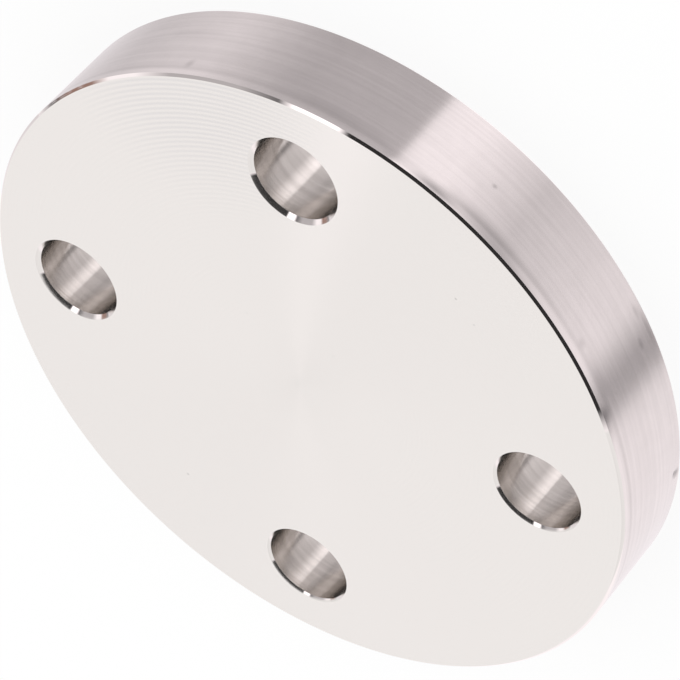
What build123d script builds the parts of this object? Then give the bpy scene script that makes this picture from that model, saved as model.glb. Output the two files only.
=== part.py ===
from build123d import *
import os

# Flat-faced blind flange, turned from stainless steel bar and drilled for four bolts.
# It lies on its back face: Z = 0 is that face, and +Z is the flange's own axis.

# Driving dimensions, in millimetres and degrees
outside_diameter = 115.0
thickness = 17.0
rim_edge_break = 0.4            # leg of the 45 degree chamfer on both outer edges
bolt_circle_inset = 15.0        # from the rim in to the circle of the bolt holes
bolt_hole_count = 4
first_bolt_hole_angle = 45.0    # from +X, so that the holes straddle both centre lines
bolt_hole_diameter = 14.5       # clearance for an M12 bolt
bolt_hole_edge_break = 0.55     # leg of the 45 degree chamfer at both ends of each hole

outside_radius = outside_diameter / 2
bolt_circle_radius = outside_radius - bolt_circle_inset
bolt_hole_radius = bolt_hole_diameter / 2

with BuildPart() as blind_flange:
    # The blank as it leaves the lathe: half its section, from the axis to the broken rim edges
    with BuildSketch(Plane.XZ):
        with BuildLine():
            Polyline(
                (0, 0),
                (outside_radius - rim_edge_break, 0),
                (outside_radius, rim_edge_break),
                (outside_radius, thickness - rim_edge_break),
                (outside_radius - rim_edge_break, thickness),
                (0, thickness),
                close=True,
            )
        make_face()
    revolve(axis=Axis.Z)

    # The bolt holes, drilled right through from the front face
    with Locations(Plane.XY.offset(thickness)):
        with PolarLocations(bolt_circle_radius, bolt_hole_count, first_bolt_hole_angle):
            Hole(bolt_hole_radius)

    # Each hole is countersunk lightly where it meets the front and the back face
    flat_faces = blind_flange.faces().filter_by(GeomType.PLANE).sort_by(Axis.Z)
    bolt_hole_mouths = [
        edge for face in (flat_faces[0], flat_faces[-1]) for wire in face.inner_wires() for edge in wire.edges()
    ]
    chamfer(bolt_hole_mouths, bolt_hole_edge_break)

blind_flange.part.label = "blind_flange"

os.makedirs("parts", exist_ok=True)
export_step(blind_flange.part, "parts/blind_flange.step")
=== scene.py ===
"""Dresses a flat-faced stainless steel blind flange and lights it as a small photographic set would."""

import logging
import math
from dataclasses import dataclass
from enum import Enum

import bmesh
import bpy
from mathutils import Matrix, Vector


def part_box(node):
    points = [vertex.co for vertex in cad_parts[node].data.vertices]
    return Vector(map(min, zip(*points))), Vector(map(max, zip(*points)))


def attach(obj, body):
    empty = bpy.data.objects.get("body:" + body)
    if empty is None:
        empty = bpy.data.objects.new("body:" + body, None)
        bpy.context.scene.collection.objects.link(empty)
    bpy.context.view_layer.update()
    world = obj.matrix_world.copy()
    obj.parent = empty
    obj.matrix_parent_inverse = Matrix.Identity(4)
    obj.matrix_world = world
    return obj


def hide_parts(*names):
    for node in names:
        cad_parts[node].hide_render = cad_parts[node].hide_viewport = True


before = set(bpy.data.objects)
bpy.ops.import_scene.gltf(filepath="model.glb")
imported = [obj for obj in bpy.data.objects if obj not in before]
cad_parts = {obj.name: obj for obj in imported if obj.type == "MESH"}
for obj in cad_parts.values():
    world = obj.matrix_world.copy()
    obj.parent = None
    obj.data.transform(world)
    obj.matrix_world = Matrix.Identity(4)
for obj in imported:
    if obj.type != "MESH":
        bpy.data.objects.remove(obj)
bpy.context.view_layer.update()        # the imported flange: one body, one node

log = logging.getLogger("blind_flange")

MM = 0.001
NODE = "blind_flange"
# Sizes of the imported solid, by which marks, dents and cards are placed
FACE_HEIGHT_MM = 17.0
RIM_RADIUS_MM = 57.5
NOISE_DETAIL = 3.0
NOISE_RANGE = (0.3, 0.7)     # most of the noise lies between these

Ring = list[bmesh.types.BMVert]
Point = tuple[float, float]


def linear(hex_code: str) -> tuple[float, float, float, float]:
    """Turns an sRGB hex colour into the linear colour that shaders use.

    Args:
        hex_code: the colour as "#rrggbb".

    Returns:
        Linear red, green and blue, and an alpha of 1.
    """
    channels = [int(hex_code[i:i + 2], 16) / 255 for i in (1, 3, 5)]
    bent = [c / 12.92 if c <= 0.04045 else ((c + 0.055) / 1.055) ** 2.4 for c in channels]
    return (*bent, 1.0)


def on_sphere(azimuth: float, elevation: float) -> Vector:
    """Gives the unit vector at an azimuth from +X and an elevation above the horizon, both in degrees."""
    a, e = math.radians(azimuth), math.radians(elevation)
    return Vector((math.cos(e) * math.cos(a), math.cos(e) * math.sin(a), math.sin(e)))


def add_node(tree: bpy.types.NodeTree, kind: str, inputs: dict | None = None, **settings) -> bpy.types.Node:
    """Adds one shader node with its settings, socket values and links.

    Args:
        tree: the material's or world's node tree.
        kind: the node's type name.
        inputs: socket name or number, with the value to set or the output socket to link.
        **settings: the node's own properties.

    Returns:
        The new node.
    """
    node = tree.nodes.new(kind)
    for name, value in settings.items():
        setattr(node, name, value)
    for name, value in (inputs or {}).items():
        if isinstance(value, bpy.types.NodeSocket):
            tree.links.new(value, node.inputs[name])
        else:
            node.inputs[name].default_value = value
    return node


def empty_material(name: str) -> bpy.types.Material:
    """Makes a material with an empty node tree.

    Args:
        name: the material's name.

    Returns:
        The new material.
    """
    material = bpy.data.materials.new(name)
    material.use_nodes = True
    material.node_tree.nodes.clear()
    return material


def put_in_scene(name: str, data: bpy.types.ID) -> bpy.types.Object:
    """Makes an object of a mesh or a camera and links it to the scene.

    Args:
        name: the object's name.
        data: the mesh or the camera.

    Returns:
        The new object.
    """
    thing = bpy.data.objects.new(name, data)
    bpy.context.scene.collection.objects.link(thing)
    return thing


class Cut(Enum):
    """The way that a tool's fine grooves run over a surface."""

    FACED = "circles on a flat face, about the flange's own axis"
    ROUND_A_WALL = "level circles on a turned or drilled wall"


@dataclass(frozen=True)
class Mark:
    """A dark mark on a surface: a pit, a speck, a smear or a soft spot. Its tone multiplies the colour."""

    place_mm: tuple[float, float, float]
    reach_mm: tuple[float, float, float]
    tone: float

    @classmethod
    def on_face(cls, x: float, y: float, reach: float, tone: float) -> "Mark":
        """Places a round mark on the front face."""
        return cls((x, y, FACE_HEIGHT_MM), (reach, reach, reach), tone)

    @classmethod
    def on_rim(cls, azimuth: float, height: float, width: float, rise: float, tone: float) -> "Mark":
        """Places an oval mark on the rim, by its azimuth in degrees and its height in millimetres."""
        x, y, _ = RIM_RADIUS_MM * on_sphere(azimuth, 0)
        return cls((x, y, height), (width, width, rise), tone)


@dataclass(frozen=True)
class MachinedSteel:
    """Stainless steel as a cutting tool leaves it: a mirror along the grooves and a blur across them.

    The finest grooves are under 0.1 mm apart, too fine to show, so they are drawn as a stretched highlight.
    The ones that the eye can pick out are drawn as lines of a lighter and a darker grey, with a low relief.
    """

    name: str
    light: str
    dark: str
    roughness: float
    stretch: float
    cut: Cut
    line_pitch_mm: float
    line_length_mm: float = 25.0
    line_depth_mm: float = 0.0
    flank_tilt_deg: float = 0.0
    marks: tuple[Mark, ...] = ()

    def place_mm(self, tree: bpy.types.NodeTree) -> bpy.types.NodeSocket:
        """Adds the surface point in millimetres, in the flange's own frame."""
        place = add_node(tree, "ShaderNodeTexCoord").outputs["Object"]
        return add_node(tree, "ShaderNodeVectorMath", {0: place, "Scale": 1 / MM},
                        operation="SCALE").outputs[0]

    def across_the_grooves(self, tree: bpy.types.NodeTree) -> bpy.types.NodeSocket:
        """Adds the direction at right angles to the grooves, in which the highlight is drawn out.

        Args:
            tree: the material's node tree.

        Returns:
            The socket that carries the direction.
        """
        geometry = add_node(tree, "ShaderNodeNewGeometry")
        normal = geometry.outputs["True Normal"]
        turned_about = geometry.outputs["Position"] if self.cut is Cut.FACED else normal
        along = add_node(tree, "ShaderNodeVectorMath", {0: (0, 0, 1), 1: turned_about},
                         operation="CROSS_PRODUCT").outputs[0]
        across = add_node(tree, "ShaderNodeVectorMath", {0: along, 1: normal},
                          operation="CROSS_PRODUCT").outputs[0]
        return add_node(tree, "ShaderNodeVectorMath", {0: across}, operation="NORMALIZE").outputs[0]

    def lines(self, tree: bpy.types.NodeTree, place: bpy.types.NodeSocket) -> bpy.types.NodeSocket:
        """Adds the lines of the cut, from 0 in a groove to 1 on a ridge.

        Args:
            tree: the material's node tree.
            place: the surface point in millimetres.

        Returns:
            The socket that carries the lines.
        """
        slow, fast = 1 / self.line_length_mm, 1 / self.line_pitch_mm
        drawn_out = add_node(tree, "ShaderNodeVectorMath", {0: place, 1: (slow, slow, fast)},
                             operation="MULTIPLY").outputs[0]
        noise = add_node(tree, "ShaderNodeTexNoise",
                         {"Vector": drawn_out, "Scale": 1.0, "Detail": NOISE_DETAIL}).outputs["Fac"]
        groove, ridge = NOISE_RANGE
        return add_node(tree, "ShaderNodeMapRange", {0: noise, 1: groove, 2: ridge}).outputs[0]

    def tone(self, tree: bpy.types.NodeTree, place: bpy.types.NodeSocket, lines: bpy.types.NodeSocket,
             ) -> bpy.types.NodeSocket:
        """Adds how far the colour stands from the dark to the light grey, 0 to 1."""
        return lines

    def marked(self, tree: bpy.types.NodeTree, place: bpy.types.NodeSocket, colour: bpy.types.NodeSocket,
               ) -> bpy.types.NodeSocket:
        """Darkens the colour at each mark.

        Args:
            tree: the material's node tree.
            place: the surface point in millimetres.
            colour: the colour before the marks.

        Returns:
            The socket that carries the colour with the marks.
        """
        for mark in self.marks:
            offset = add_node(tree, "ShaderNodeVectorMath", {0: place, 1: mark.place_mm},
                              operation="SUBTRACT")
            share = add_node(tree, "ShaderNodeVectorMath", {0: offset.outputs[0], 1: mark.reach_mm},
                             operation="DIVIDE")
            far = add_node(tree, "ShaderNodeVectorMath", {0: share.outputs[0]}, operation="LENGTH")
            shade = add_node(tree, "ShaderNodeMapRange", {0: far.outputs["Value"], 3: mark.tone, 4: 1.0},
                             interpolation_type="SMOOTHSTEP")
            colour = add_node(tree, "ShaderNodeVectorMath", {0: colour, "Scale": shade.outputs[0]},
                              operation="SCALE").outputs[0]
        return colour

    def relief(self, tree: bpy.types.NodeTree, place: bpy.types.NodeSocket, lines: bpy.types.NodeSocket,
               ) -> bpy.types.NodeSocket:
        """Adds the height of the surface, as a share of the lines' depth."""
        return lines

    def facing(self, tree: bpy.types.NodeTree, height: bpy.types.NodeSocket) -> bpy.types.NodeSocket:
        """Adds the way that the surface faces: the relief of the lines, on long flanks that lean down.

        Args:
            tree: the material's node tree.
            height: the height of the surface, as a share of the lines' depth.

        Returns:
            The socket that carries the normal.
        """
        relief = add_node(tree, "ShaderNodeBump", {"Distance": self.line_depth_mm * MM, "Height": height})
        lean = (0, 0, -math.tan(math.radians(self.flank_tilt_deg)))
        leaning = add_node(tree, "ShaderNodeVectorMath", {0: relief.outputs["Normal"], 1: lean})
        return add_node(tree, "ShaderNodeVectorMath", {0: leaning.outputs[0]},
                        operation="NORMALIZE").outputs[0]

    def material(self) -> bpy.types.Material:
        """Builds the material.

        Returns:
            The new material.
        """
        material = empty_material(self.name)
        tree = material.node_tree
        place = self.place_mm(tree)
        lines = self.lines(tree, place)
        colour = add_node(tree, "ShaderNodeMix", {
            0: self.tone(tree, place, lines), 6: linear(self.dark), 7: linear(self.light),
        }, data_type="RGBA").outputs[2]
        shader = add_node(tree, "ShaderNodeBsdfPrincipled", {
            "Base Color": self.marked(tree, place, colour),
            "Metallic": 1.0,
            "Roughness": self.roughness,
            "Anisotropic": self.stretch,
            "Tangent": self.across_the_grooves(tree),
            "Normal": self.facing(tree, self.relief(tree, place, lines)),
        })
        add_node(tree, "ShaderNodeOutputMaterial", {"Surface": shader.outputs["BSDF"]})
        return material


@dataclass(frozen=True)
class FacedSteel(MachinedSteel):
    """The flat faces. The rings are real, but drawn as painted shade in their grooves, clearest on one side
    and fading out across the rest.
    """

    clearest_side_deg: float = 64.0
    clearest_radius_mm: float = 56.0
    clear_within_mm: float = 7.0
    faint_beyond_mm: float = 27.0
    faint_share: float = 0.06

    def lines(self, tree: bpy.types.NodeTree, place: bpy.types.NodeSocket) -> bpy.types.NodeSocket:
        """Adds the even rings that the lathe's feed leaves, from 0 in a groove to 1 on a ridge.

        Args:
            tree: the material's node tree.
            place: the surface point in millimetres.

        Returns:
            The socket that carries the rings.
        """
        level = add_node(tree, "ShaderNodeVectorMath", {0: place, 1: (1, 1, 0)}, operation="MULTIPLY")
        radius = add_node(tree, "ShaderNodeVectorMath", {0: level.outputs[0]},
                          operation="LENGTH").outputs["Value"]
        turns = add_node(tree, "ShaderNodeMath", {0: radius, 1: math.tau / self.line_pitch_mm},
                         operation="MULTIPLY")
        wave = add_node(tree, "ShaderNodeMath", {0: turns.outputs[0]}, operation="SINE")
        return add_node(tree, "ShaderNodeMapRange", {0: wave.outputs[0], 1: -1.0}).outputs[0]

    def tone(self, tree: bpy.types.NodeTree, place: bpy.types.NodeSocket, lines: bpy.types.NodeSocket,
             ) -> bpy.types.NodeSocket:
        """Fades the rings out away from the side on which they are clearest.

        Args:
            tree: the material's node tree.
            place: the surface point in millimetres.
            lines: the rings, from 0 to 1.

        Returns:
            The socket that carries the tone.
        """
        clearest = self.clearest_radius_mm * on_sphere(self.clearest_side_deg, 0)
        clearest.z = FACE_HEIGHT_MM
        away = add_node(tree, "ShaderNodeVectorMath", {0: place, 1: clearest}, operation="DISTANCE")
        strength = add_node(tree, "ShaderNodeMapRange", {
            0: away.outputs["Value"], 1: self.clear_within_mm, 2: self.faint_beyond_mm,
            3: 1.0, 4: self.faint_share,
        }, interpolation_type="SMOOTHSTEP")
        # painted shade: the rings' grooves darken the colour
        groove = add_node(tree, "ShaderNodeMath", {0: 1.0, 1: lines}, operation="SUBTRACT")
        cut = add_node(tree, "ShaderNodeMath", {0: groove.outputs[0], 1: strength.outputs[0]},
                       operation="MULTIPLY")
        return add_node(tree, "ShaderNodeMath", {0: 1.0, 1: cut.outputs[0]}, operation="SUBTRACT").outputs[0]


@dataclass(frozen=True)
class TurnedRimSteel(MachinedSteel):
    """The rim: level lines and soft blotches, with a dark score and a painted highlight at the front edge."""

    even_share: float = 0.53
    line_share: float = 0.16
    blotch_share: float = 0.16
    blotch_mm: float = 2.5
    score_mm: float = 14.9
    score_reach_mm: float = 0.75
    score_share: float = 0.16
    # painted highlight: the wall's colour turns lighter towards the front edge, standing in for the edge's
    # highlight
    painted_highlight_from_mm: float = 15.1
    painted_highlight_to_mm: float = 16.0
    painted_highlight_share: float = 0.2

    def tone(self, tree: bpy.types.NodeTree, place: bpy.types.NodeSocket, lines: bpy.types.NodeSocket,
             ) -> bpy.types.NodeSocket:
        """Adds the blotches, the score and the painted highlight to the lines.

        Args:
            tree: the material's node tree.
            place: the surface point in millimetres.
            lines: the level lines, from 0 to 1.

        Returns:
            The socket that carries the tone.
        """
        blotches = add_node(tree, "ShaderNodeTexNoise",
                            {"Vector": place, "Scale": 1 / self.blotch_mm, "Detail": NOISE_DETAIL})
        height = add_node(tree, "ShaderNodeSeparateXYZ", {0: place}).outputs["Z"]
        off_score = add_node(tree, "ShaderNodeMath", {0: height, 1: self.score_mm}, operation="SUBTRACT")
        score = add_node(tree, "ShaderNodeMath", {0: off_score.outputs[0]}, operation="ABSOLUTE")
        parts = (
            add_node(tree, "ShaderNodeMapRange", {0: lines, 4: self.line_share}),
            add_node(tree, "ShaderNodeMapRange", {0: blotches.outputs["Fac"], 4: self.blotch_share}),
            add_node(tree, "ShaderNodeMapRange",
                     {0: score.outputs[0], 2: self.score_reach_mm, 3: -self.score_share, 4: 0.0},
                     interpolation_type="SMOOTHSTEP"),
            # painted highlight: lightens the wall's colour towards the front edge and up to it
            add_node(tree, "ShaderNodeMapRange",
                     {0: height, 1: self.painted_highlight_from_mm, 2: self.painted_highlight_to_mm, 4: self.painted_highlight_share},
                     interpolation_type="SMOOTHSTEP"),
        )
        tone = self.even_share
        for part in parts:
            tone = add_node(tree, "ShaderNodeMath", {0: tone, 1: part.outputs[0]},
                            operation="ADD").outputs[0]
        return tone


@dataclass(frozen=True)
class DrilledSteel(MachinedSteel):
    """The bolt holes' walls: uneven level scores, drawn deepest near the front mouth."""

    scored_from_mm: float = 12.0
    scored_to_mm: float = 16.0
    deep_share: float = 0.16

    def relief(self, tree: bpy.types.NodeTree, place: bpy.types.NodeSocket, lines: bpy.types.NodeSocket,
               ) -> bpy.types.NodeSocket:
        """Deepens the scores towards the front mouth.

        Args:
            tree: the material's node tree.
            place: the surface point in millimetres.
            lines: the scores, from 0 to 1.

        Returns:
            The socket that carries the height.
        """
        height = add_node(tree, "ShaderNodeSeparateXYZ", {0: place}).outputs["Z"]
        depth = add_node(tree, "ShaderNodeMapRange",
                         {0: height, 1: self.scored_from_mm, 2: self.scored_to_mm, 3: self.deep_share})
        return add_node(tree, "ShaderNodeMath", {0: lines, 1: depth.outputs[0]},
                        operation="MULTIPLY").outputs[0]


# Stainless steel faced on the lathe. To the eye it is pale and almost even, with a sheen that fans out from
# the axis and faint rings on one side. The rings stand 0.86 mm apart there, as on the real face.
# The rings have no relief here: their grooves are painted darker, as shade.
FACED_STEEL = FacedSteel(
    "stainless_steel_faced_on_the_lathe", "#ede8e5", "#e3dfde", 0.20, 0.9, Cut.FACED,
    line_pitch_mm=0.86,
    marks=(
        # specks, then the soft spot on the axis
        Mark.on_face(-40.1, -7.8, 0.35, 0.8),
        Mark.on_face(43.4, 3.6, 0.35, 0.8),
        Mark.on_face(43.0, -1.2, 0.3, 0.86),
        Mark.on_face(0.6, 13.9, 0.35, 0.93),
        Mark.on_face(11.1, 2.2, 0.3, 0.9),
        Mark.on_face(-0.4, 0.4, 2.0, 0.985),
        Mark.on_face(0.0, 0.0, 12.0, 0.985),
    ),
)
# Stainless steel turned on the rim. It mirrors sharply round the rim and blurs up and down, so the eye sees
# upright bands of light and dark under fine level lines. The tool's feed, about 0.1 mm, is too fine to show,
# so the lines are drawn 0.6 mm apart.
# Its colour also holds a painted highlight towards the front edge.
TURNED_RIM_STEEL = TurnedRimSteel(
    "stainless_steel_rim_turned", "#dbd5d3", "#aaa5a3", 0.17, 1.0, Cut.ROUND_A_WALL,
    line_pitch_mm=0.6, line_length_mm=30.0, line_depth_mm=0.002,
    marks=(
        # pits and specks, then soft darker patches, most of them along the front edge, then the deeper dent
        Mark.on_rim(14.3, 8.5, 0.7, 0.6, 0.72),
        Mark.on_rim(-19.0, 3.7, 1.6, 0.8, 0.76),
        Mark.on_rim(-14.5, 1.8, 1.9, 0.8, 0.85),
        Mark.on_rim(-11.0, 14.2, 1.3, 1.3, 0.87),
        Mark.on_rim(65.0, 14.0, 1.1, 1.5, 0.8),
        Mark.on_rim(71.0, 6.0, 9.0, 1.2, 0.93),
        Mark.on_rim(-52.0, 16.3, 12.0, 1.3, 0.93),
        Mark.on_rim(-17.0, 14.2, 5.0, 0.9, 0.9),
        Mark.on_rim(-18.0, 1.1, 5.0, 0.6, 0.82),
        Mark.on_rim(3.0, 14.7, 14.0, 1.0, 0.9),
        Mark.on_rim(-22.5, 16.3, 2.5, 2.2, 0.55),
        Mark.on_rim(6.0, 16.9, 10.0, 2.4, 0.78),
        Mark.on_rim(12.0, 15.4, 11.0, 2.6, 0.7),
        Mark.on_rim(20.5, 16.0, 6.0, 1.3, 0.47),
        Mark.on_rim(27.0, 15.9, 4.0, 0.8, 0.85),
        Mark.on_rim(39.0, 14.5, 13.0, 2.0, 0.86),
        Mark.on_rim(-46.4, 1.4, 1.35, 1.3, 0.45),
    ),
)
# Stainless steel with its edge broken by a last fine cut. It is nearly polished, so the eye sees one crisp
# line that goes from black to white to grey on its way round. Its own lines, 0.15 mm apart, show only close
# up.
BROKEN_EDGE_STEEL = MachinedSteel(
    "stainless_steel_edge_broken", "#e8e3e0", "#e2ddda", 0.06, 0.6, Cut.ROUND_A_WALL, line_pitch_mm=0.15)
# Stainless steel as the drill leaves it. The scored wall blurs what it mirrors into bands that run down the
# hole and fade into streaks. The scores, about 0.2 mm apart, are too fine to show and are drawn 0.9 mm apart.
DRILLED_STEEL = DrilledSteel(
    "stainless_steel_drilled", "#d9d4cf", "#c6c1bc", 0.20, 1.0, Cut.ROUND_A_WALL,
    line_pitch_mm=0.9, line_length_mm=18.0, line_depth_mm=0.02, flank_tilt_deg=6.0)
# Stainless steel deburred with a hand countersink. It is brushed round the mouth, so the eye sees a bright or
# dark crescent, softer than the rim's line. Its lines are 0.15 mm apart and show only close up.
DEBURRED_STEEL = MachinedSteel(
    "stainless_steel_mouth_deburred", "#e8e3e0", "#e2ddda", 0.10, 1.0, Cut.ROUND_A_WALL, line_pitch_mm=0.15)


@dataclass
class BoltHole:
    """One drilled bolt hole, with the edge break at its mouth as wide as the hand tool left it."""

    azimuth_deg: float
    front_break_mm: float


@dataclass(frozen=True)
class Dent:
    """A knock in the rim: an oval hollow, longer along a slanting line than across it."""

    azimuth_deg: float
    height_mm: float
    half_length_mm: float
    half_width_mm: float
    slant_deg: float
    depth_mm: float
    edge_softness: float = 1.5

    def depth_at(self, azimuth: float, height: float) -> float:
        """Gives the hollow's depth at a place on the rim.

        Args:
            azimuth: the place's azimuth, in degrees.
            height: the place's height, in metres.

        Returns:
            The depth in metres, which is 0 outside the hollow.
        """
        along = math.radians(azimuth - self.azimuth_deg) * RIM_RADIUS_MM
        up = height / MM - self.height_mm
        cos, sin = math.cos(math.radians(self.slant_deg)), math.sin(math.radians(self.slant_deg))
        length = (along * cos + up * sin) / self.half_length_mm
        width = (up * cos - along * sin) / self.half_width_mm
        return self.depth_mm * MM * max(0.0, 1 - length ** 2 - width ** 2) ** self.edge_softness


@dataclass
class BlindFlange:
    """The flange's visible skin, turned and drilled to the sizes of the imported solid."""

    radius: float
    thickness: float
    rim_break: float = 0.4 * MM
    bolt_circle_radius: float = 42.5 * MM
    bolt_hole_radius: float = 7.25 * MM
    back_break: float = 0.55 * MM
    corner_radius: float = 0.03 * MM
    corner_steps: int = 3
    rim_step_deg: float = 0.5
    dented_step_deg: float = 0.1
    dented_azimuths_deg: tuple[float, float] = (-48.0, -41.0)
    dented_heights_mm: tuple[float, float] = (0.5, 5.3)
    dented_height_step_mm: float = 0.15
    hole_step_deg: float = 1.875
    wall_step_mm: float = 1.4
    dents: tuple[Dent, ...] = (
        Dent(azimuth_deg=-46.5, height_mm=1.5, half_length_mm=1.2, half_width_mm=0.8, slant_deg=38,
             depth_mm=0.2),
        Dent(azimuth_deg=-43.7, height_mm=3.5, half_length_mm=1.9, half_width_mm=0.4, slant_deg=38,
             depth_mm=0.03),
    )
    holes: tuple[BoltHole, ...] = (
        BoltHole(45, 0.66),
        BoltHole(135, 0.64),
        BoltHole(-45, 0.45),
        BoltHole(-135, 0.42),
    )

    def broken_corner(self, radius: float, height: float, leg: float, outward: int, upward: int,
                      ) -> list[Point]:
        """Lists the section of a 45 degree edge break with slightly rounded corners, from face to wall.

        Args:
            radius: the wall's radius.
            height: the flat face's height.
            leg: how far the break reaches along the face and along the wall.
            outward: 1 where the wall faces away from the axis, -1 inside a hole.
            upward: 1 on the front face, -1 on the back.

        Returns:
            Radius and height of each point.
        """
        turn = math.radians(45)
        reach = self.corner_radius * math.tan(turn / 2)
        points = []
        for step in range(self.corner_steps + 1):
            a = turn * step / self.corner_steps
            points.append((
                radius - outward * (leg + reach - self.corner_radius * math.sin(a)),
                height - upward * self.corner_radius * (1 - math.cos(a)),
            ))
        for step in range(self.corner_steps + 1):
            a = turn * (1 - step / self.corner_steps)
            points.append((
                radius - outward * self.corner_radius * (1 - math.cos(a)),
                height - upward * (leg + reach - self.corner_radius * math.sin(a)),
            ))
        return points

    def steps(self, start: float, end: float, step: float) -> list[float]:
        """Divides a stretch evenly into steps no longer than the one given, and leaves its end out."""
        count = max(1, math.ceil(round(abs(end - start) / step, 6)))
        return [start + (end - start) * i / count for i in range(count)]

    def section(self, radius: float, outward: int, front_leg: float, back_leg: float) -> list[Point]:
        """Lists the section of a wall with both its edge breaks, from the front face down to the back.

        Args:
            radius: the wall's radius.
            outward: 1 for the rim, -1 for a hole.
            front_leg: how far the front break reaches along the face and along the wall.
            back_leg: the same for the back break.

        Returns:
            Radius and height of each point.
        """
        front = self.broken_corner(radius, self.thickness, front_leg, outward, 1)
        back = self.broken_corner(radius, 0.0, back_leg, outward, -1)[::-1]
        top, bottom = front[-1][1], back[0][1]
        heights = self.steps(top, bottom, self.wall_step_mm * MM)
        if outward > 0:
            low, high = (height * MM for height in self.dented_heights_mm)
            heights = (self.steps(top, high, self.wall_step_mm * MM)
                       + self.steps(high, low, self.dented_height_step_mm * MM)
                       + self.steps(low, bottom, self.wall_step_mm * MM))
        return front + [(radius, height) for height in heights[1:]] + back

    def rim_azimuths(self) -> list[float]:
        """Lists the azimuths of the rim's points, in degrees, closer together at the dents."""
        first, last = self.dented_azimuths_deg
        return (self.steps(first, last, self.dented_step_deg)
                + self.steps(last, first + 360, self.rim_step_deg))

    def dented(self, azimuth: float, height: float) -> float:
        """Gives the depth of the deepest dent at a place on the rim."""
        return max(dent.depth_at(azimuth, height) for dent in self.dents)

    def add_wall(self, mesh: bmesh.types.BMesh, centre: Vector, section: list[Point],
                 azimuths: list[float], outward: int, break_slot: int, wall_slot: int) -> tuple[Ring, Ring]:
        """Revolves a section about an upright axis and adds its rings of faces.

        Args:
            mesh: the mesh to add to.
            centre: where the axis stands.
            section: radius and height of each point, front to back.
            azimuths: the azimuths of each ring's points, in degrees.
            outward: 1 for the rim, -1 for a hole, which sets the way the faces look.
            break_slot: material slot of the edge breaks.
            wall_slot: material slot of the wall between them.

        Returns:
            The ring of vertices on the front face, and the one on the back face.
        """
        rings = []
        for radius, height in section:
            ring = []
            for azimuth in azimuths:
                depth = self.dented(azimuth, height) if outward > 0 else 0.0
                place = centre + (radius - depth) * on_sphere(azimuth, 0) + Vector((0, 0, height))
                ring.append(mesh.verts.new(place))
            rings.append(ring)
        break_rings = 2 * self.corner_steps + 1
        last = len(rings) - 1
        for number, (upper, lower) in enumerate(zip(rings, rings[1:])):
            is_break = number < break_rings or number >= last - break_rings
            for step in range(len(azimuths)):
                after = (step + 1) % len(azimuths)
                corners = [upper[step], lower[step], lower[after], upper[after]]
                face = mesh.faces.new(corners if outward > 0 else corners[::-1])
                face.smooth = True
                face.material_index = break_slot if is_break else wall_slot
        return rings[0], rings[-1]

    def add_flat(self, mesh: bmesh.types.BMesh, rings: list[Ring], slot: int, upward: int) -> None:
        """Fills the flat face between the rim's ring and the holes' rings.

        Args:
            mesh: the mesh to add to.
            rings: the rings of vertices that bound the face.
            slot: the face's material slot.
            upward: 1 for the front face, -1 for the back.
        """
        edges = []
        for ring in rings:
            edges += [mesh.edges.get(pair) for pair in zip(ring, ring[1:] + ring[:1])]
        filled = bmesh.ops.triangle_fill(mesh, use_beauty=True, edges=edges, normal=(0, 0, upward))
        for face in filled["geom"]:
            if isinstance(face, bmesh.types.BMFace):
                face.normal_update()
                if face.normal.z * upward < 0:
                    face.normal_flip()
                face.material_index = slot
                face.smooth = False

    def build(self) -> bpy.types.Object:
        """Builds the flange's mesh and dresses it.

        Returns:
            The finished piece.
        """
        finishes = (FACED_STEEL, TURNED_RIM_STEEL, BROKEN_EDGE_STEEL, DRILLED_STEEL, DEBURRED_STEEL)
        faced, rim, broken, drilled, deburred = range(len(finishes))
        mesh = bmesh.new()
        rim_section = self.section(self.radius, 1, self.rim_break, self.rim_break)
        front, back = self.add_wall(mesh, Vector(), rim_section, self.rim_azimuths(), 1, broken, rim)
        fronts, backs = [front], [back]
        for hole in self.holes:
            centre = self.bolt_circle_radius * on_sphere(hole.azimuth_deg, 0)
            section = self.section(self.bolt_hole_radius, -1, hole.front_break_mm * MM, self.back_break)
            azimuths = self.steps(0, 360, self.hole_step_deg)
            front, back = self.add_wall(mesh, centre, section, azimuths, -1, deburred, drilled)
            fronts.append(front)
            backs.append(back)
        self.add_flat(mesh, fronts, faced, 1)
        self.add_flat(mesh, backs, faced, -1)
        data = bpy.data.meshes.new("machined_flange")
        mesh.to_mesh(data)
        mesh.free()
        for finish in finishes:
            data.materials.append(finish.material())
        return put_in_scene("machined_flange", data)


class Paper(Enum):
    """The papers of the set: greys from light to dark, in steps of 5 % or more, and one brown."""

    WHITE = "#ffffff"
    BRIGHT = "#e6e6e6"
    PALE = "#d9d9d9"
    LIGHT = "#cccccc"
    SOFT = "#bfbfbf"
    STONE = "#b3b3b3"
    MIDDLE = "#a6a6a6"
    DULL = "#999999"
    HALF = "#808080"
    DARK = "#595959"
    BLACK = "#262626"
    BROWN = "#806a60"


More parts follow.
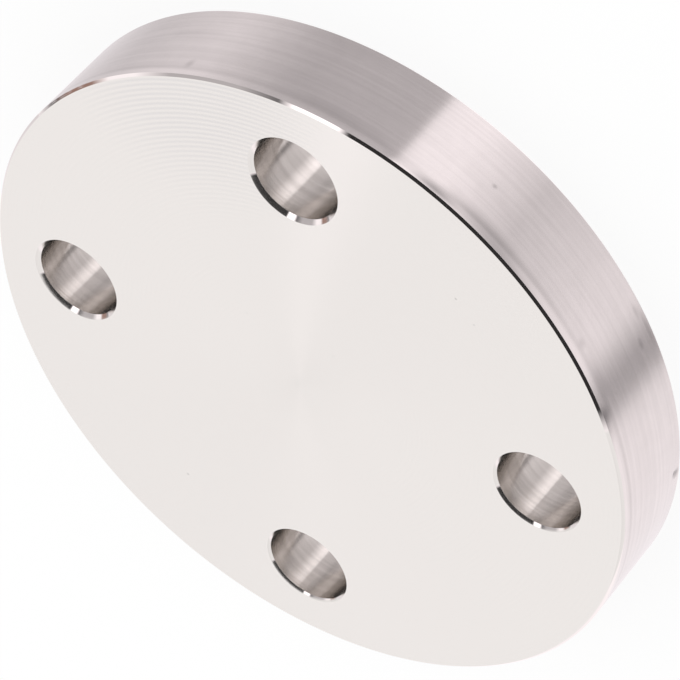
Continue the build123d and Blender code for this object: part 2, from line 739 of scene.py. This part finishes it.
@dataclass(frozen=True)
class Card:
    """A sheet hung round the set, seen only in the polish of the metal.

    Its tones are pairs of an azimuth and a paper. One paper runs over into the next, and two at one
    azimuth make a hard edge.
    """

    name: str
    tones: tuple[tuple[float, Paper], ...]
    distance: float = 1.0
    step_deg: float = 3.0

    def column(self, turn: float) -> list[Vector]:
        """Gives the directions of the points in one column of the sheet, bottom to top."""
        raise NotImplementedError

    def build(self, paper: bpy.types.Material) -> bpy.types.Object:
        """Builds the sheet as part of a sphere about the flange.

        Args:
            paper: the material that shows the sheet's own colours.

        Returns:
            The card.
        """
        mesh = bmesh.new()
        tone = mesh.verts.layers.float_color.new("tone")
        for (start, first), (end, last) in zip(self.tones, self.tones[1:]):
            steps = math.ceil((end - start) / self.step_deg)
            columns = []
            for i in range(steps + 1 if steps else 0):
                colour = Vector(linear(first.value)).lerp(Vector(linear(last.value)), i / steps)
                points = self.column(start + (end - start) * i / steps)
                column = [mesh.verts.new(self.distance * point) for point in points]
                for vertex in column:
                    vertex[tone] = colour
                columns.append(column)
            for left, right in zip(columns, columns[1:]):
                for j in range(len(left) - 1):
                    mesh.faces.new((left[j], right[j], right[j + 1], left[j + 1]))
        data = bpy.data.meshes.new(self.name)
        mesh.to_mesh(data)
        mesh.free()
        data.materials.append(paper)
        sheet = put_in_scene(self.name, data)
        sheet.visible_camera = False
        sheet.visible_diffuse = False
        sheet.visible_transmission = False
        sheet.visible_shadow = False
        return sheet


@dataclass(frozen=True)
class PaperRing(Card):
    """A ring of paper below the lens, which the upright walls mirror."""

    bottom_deg: float = -85.0
    top_deg: float = 12.0

    def column(self, turn: float) -> list[Vector]:
        """Gives an upright column.

        Args:
            turn: its azimuth, in degrees.

        Returns:
            The directions of the column's points, bottom to top.
        """
        count = math.ceil((self.top_deg - self.bottom_deg) / self.step_deg)
        rise = (self.top_deg - self.bottom_deg) / count
        return [on_sphere(turn, self.bottom_deg + rise * i) for i in range(count + 1)]


@dataclass(frozen=True)
class EdgeCard(Card):
    """A strip hung where the rim's front edge break mirrors it. Its azimuths are those of the break."""

    slopes_deg: tuple[float, ...] = (37.0, 41.0, 45.0, 49.0, 53.0)

    def column(self, turn: float) -> list[Vector]:
        """Gives the column that the edge break at an azimuth mirrors, from its wall side to its face side.

        Args:
            turn: the azimuth on the rim, in degrees.

        Returns:
            The directions of the column's points.
        """
        edge = (RIM_RADIUS_MM * on_sphere(turn, 0) + Vector((0, 0, FACE_HEIGHT_MM))) * MM
        to_lens = (Viewpoint().place() - edge).normalized()
        points = []
        for slope_deg in self.slopes_deg:
            slope = on_sphere(turn, slope_deg)
            mirrored = 2 * to_lens.dot(slope) * slope - to_lens
            nearest = edge.dot(mirrored)
            reach = math.sqrt(nearest ** 2 + self.distance ** 2 - edge.length_squared) - nearest
            points.append((edge + reach * mirrored).normalized())
        return points


@dataclass(frozen=True)
class StreakCard(Card):
    """A small bright patch behind the flange, which the faced rings draw out into a faint streak."""

    elevation_deg: float = 48.4
    half_height_deg: float = 2.8

    def column(self, turn: float) -> list[Vector]:
        """Gives a short upright column at an azimuth."""
        half = self.half_height_deg
        return [on_sphere(turn, self.elevation_deg + rise) for rise in (-half, 0, half)]


# The cards of the set, by azimuth from +X in degrees. The rings stand all round. The darker sheets among them
# give the rim its broad bands, and the white one at 25 to 39 degrees the band down each hole. Places and
# papers follow the bands that the photograph shows, in round steps.
CARDS = (
    PaperRing("upper_paper", bottom_deg=-48.0, tones=(
        (-180, Paper.LIGHT),
        (-110, Paper.PALE),
        (-66, Paper.PALE),
        (-66, Paper.DULL),
        (-55, Paper.DULL),
        (-45, Paper.PALE),
        (-35, Paper.PALE),
        (0, Paper.SOFT),
        (25, Paper.BRIGHT),
        (39, Paper.BRIGHT),
        (39, Paper.MIDDLE),
        (80, Paper.MIDDLE),
        (110, Paper.LIGHT),
        (145, Paper.STONE),
        (180, Paper.LIGHT),
    )),
    PaperRing("lower_paper", top_deg=-48.0, tones=(
        (-180, Paper.PALE),
        (-125, Paper.LIGHT),
        (-95, Paper.HALF),
        (-79, Paper.BRIGHT),
        (-79, Paper.BLACK),
        (-65, Paper.BLACK),
        (-55, Paper.DULL),
        (-5, Paper.STONE),
        (25, Paper.WHITE),
        (39, Paper.WHITE),
        (39, Paper.LIGHT),
        (75, Paper.SOFT),
        (105, Paper.DARK),
        (165, Paper.PALE),
        (180, Paper.PALE),
    )),
    EdgeCard("edge_paper", tones=(
        (-25, Paper.PALE),
        (-21, Paper.BLACK),
        (35, Paper.BLACK),
        (37, Paper.WHITE),
        (44, Paper.WHITE),
        (47, Paper.DARK),
        (54, Paper.DULL),
        (67, Paper.DULL),
        (74, Paper.PALE),
        (80, Paper.PALE),
        (84, Paper.BROWN),
        (90, Paper.BROWN),
        (95, Paper.DARK),
        (100, Paper.PALE),
    )),
    StreakCard("streak_card_above", tones=((187, Paper.WHITE), (190.5, Paper.WHITE))),
    StreakCard("streak_card_below", elevation_deg=6.8, tones=((199, Paper.WHITE), (202.5, Paper.WHITE))),
)


@dataclass(frozen=True)
class Viewpoint:
    """Where the photograph was taken from, about the centre of the flange's front face."""

    azimuth_deg: float = 16.054
    elevation_deg: float = 34.538
    distance_mm: float = 606.37
    aim_mm: tuple[float, float] = (15.07, 4.24)
    roll_deg: float = -137.86
    lens_mm: float = 208.78
    sensor_mm: float = 36.0
    nearest_mm: float = 10.0

    def face_centre(self) -> Vector:
        """Gives the centre of the front face."""
        return Vector((0, 0, FACE_HEIGHT_MM)) * MM

    def place(self) -> Vector:
        """Gives the place of the lens."""
        return self.face_centre() + self.distance_mm * MM * on_sphere(self.azimuth_deg, self.elevation_deg)

    def build(self) -> bpy.types.Object:
        """Sets up the camera.

        Returns:
            The camera.
        """
        data = bpy.data.cameras.new("camera")
        data.lens = self.lens_mm
        data.sensor_width = self.sensor_mm
        data.clip_start = self.nearest_mm * MM
        camera = put_in_scene("camera", data)
        place = self.place()
        aim = self.face_centre() + Vector((*self.aim_mm, 0)) * MM
        level = (aim - place).to_track_quat("-Z", "Y").to_matrix().to_4x4()
        roll = Matrix.Rotation(math.radians(self.roll_deg), 4, "Z")
        camera.matrix_world = Matrix.Translation(place) @ level @ roll
        bpy.context.scene.camera = camera
        return camera


@dataclass
class Studio:
    """A white sweep under even light, with the sheets of paper that the polished metal mirrors."""

    floor_size: float = 12.0
    floor_albedo: float = 0.15     # the matt share of the sweep, which sets how deep the shadow is
    paper_strength: float = 1.8    # makes up for the light that the steel takes from what it mirrors
    paper_cast: str = "#fffafd"    # all the papers are faintly pink
    cards: tuple[Card, ...] = CARDS

    def paper_material(self) -> bpy.types.Material:
        """Makes paper that glows in its own colour, so that the metal mirrors it as it is written.

        Returns:
            The material, which reads the colour from each card's own tones.
        """
        material = empty_material("reflected_paper")
        tree = material.node_tree
        tone = add_node(tree, "ShaderNodeAttribute", attribute_name="tone")
        cast = add_node(tree, "ShaderNodeVectorMath",
                        {0: tone.outputs["Color"], 1: linear(self.paper_cast)[:3]}, operation="MULTIPLY")
        glow = add_node(tree, "ShaderNodeEmission",
                        {"Color": cast.outputs[0], "Strength": self.paper_strength})
        add_node(tree, "ShaderNodeOutputMaterial", {"Surface": glow.outputs["Emission"]})
        material.cycles.emission_sampling = "NONE"
        return material

    def floor_material(self) -> bpy.types.Material:
        """Makes a white sweep: part matt, which keeps the shadow, and part glow, which brings it to white.

        Returns:
            The material.
        """
        material = empty_material("white_sweep")
        tree = material.node_tree
        a = self.floor_albedo
        matt = add_node(tree, "ShaderNodeBsdfDiffuse", {"Color": (a, a, a, 1)})
        glow = add_node(tree, "ShaderNodeEmission", {"Color": (1 - a, 1 - a, 1 - a, 1), "Strength": 1.0})
        both = add_node(tree, "ShaderNodeAddShader", {0: matt.outputs["BSDF"], 1: glow.outputs["Emission"]})
        add_node(tree, "ShaderNodeOutputMaterial", {"Surface": both.outputs["Shader"]})
        material.cycles.emission_sampling = "NONE"
        return material

    def build_floor(self) -> bpy.types.Object:
        """Lays the sweep under the flange. The metal doesn't mirror it, but the even white beyond it.

        Returns:
            The floor.
        """
        half = self.floor_size / 2
        data = bpy.data.meshes.new("floor")
        corners = [(-half, -half, 0), (half, -half, 0), (half, half, 0), (-half, half, 0)]
        data.from_pydata(corners, [], [(0, 1, 2, 3)])
        data.materials.append(self.floor_material())
        floor = put_in_scene("floor", data)
        floor.visible_glossy = False
        floor.visible_shadow = False
        return floor

    def build_light(self) -> None:
        """Fills the set with even white light, at the level at which a colour renders as it is written."""
        world = bpy.data.worlds.new("even_white")
        world.use_nodes = True
        world.node_tree.nodes.clear()
        sky = add_node(world.node_tree, "ShaderNodeBackground", {"Color": (1, 1, 1, 1), "Strength": 1.0})
        add_node(world.node_tree, "ShaderNodeOutputWorld", {"Surface": sky.outputs["Background"]})
        world.cycles.sampling_method = "NONE"
        bpy.context.scene.world = world

    def build(self) -> None:
        """Builds the floor, the light and the cards."""
        self.build_floor()
        self.build_light()
        paper = self.paper_material()
        for card in self.cards:
            card.build(paper)
        bpy.context.scene.view_settings.view_transform = "Standard"


def main() -> None:
    """Builds the flange, then the set and the camera, and logs the flange's face count."""
    low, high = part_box(NODE)
    flange = BlindFlange(radius=(high.x - low.x) / 2, thickness=high.z - low.z)
    piece = flange.build()
    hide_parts(NODE)
    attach(piece, "root")
    log.info("flange: %d faces", len(piece.data.polygons))
    Studio().build()
    Viewpoint().build()
    log.info("set and camera are in place")


if __name__ == "__main__":
    logging.basicConfig(level=logging.INFO)
    main()
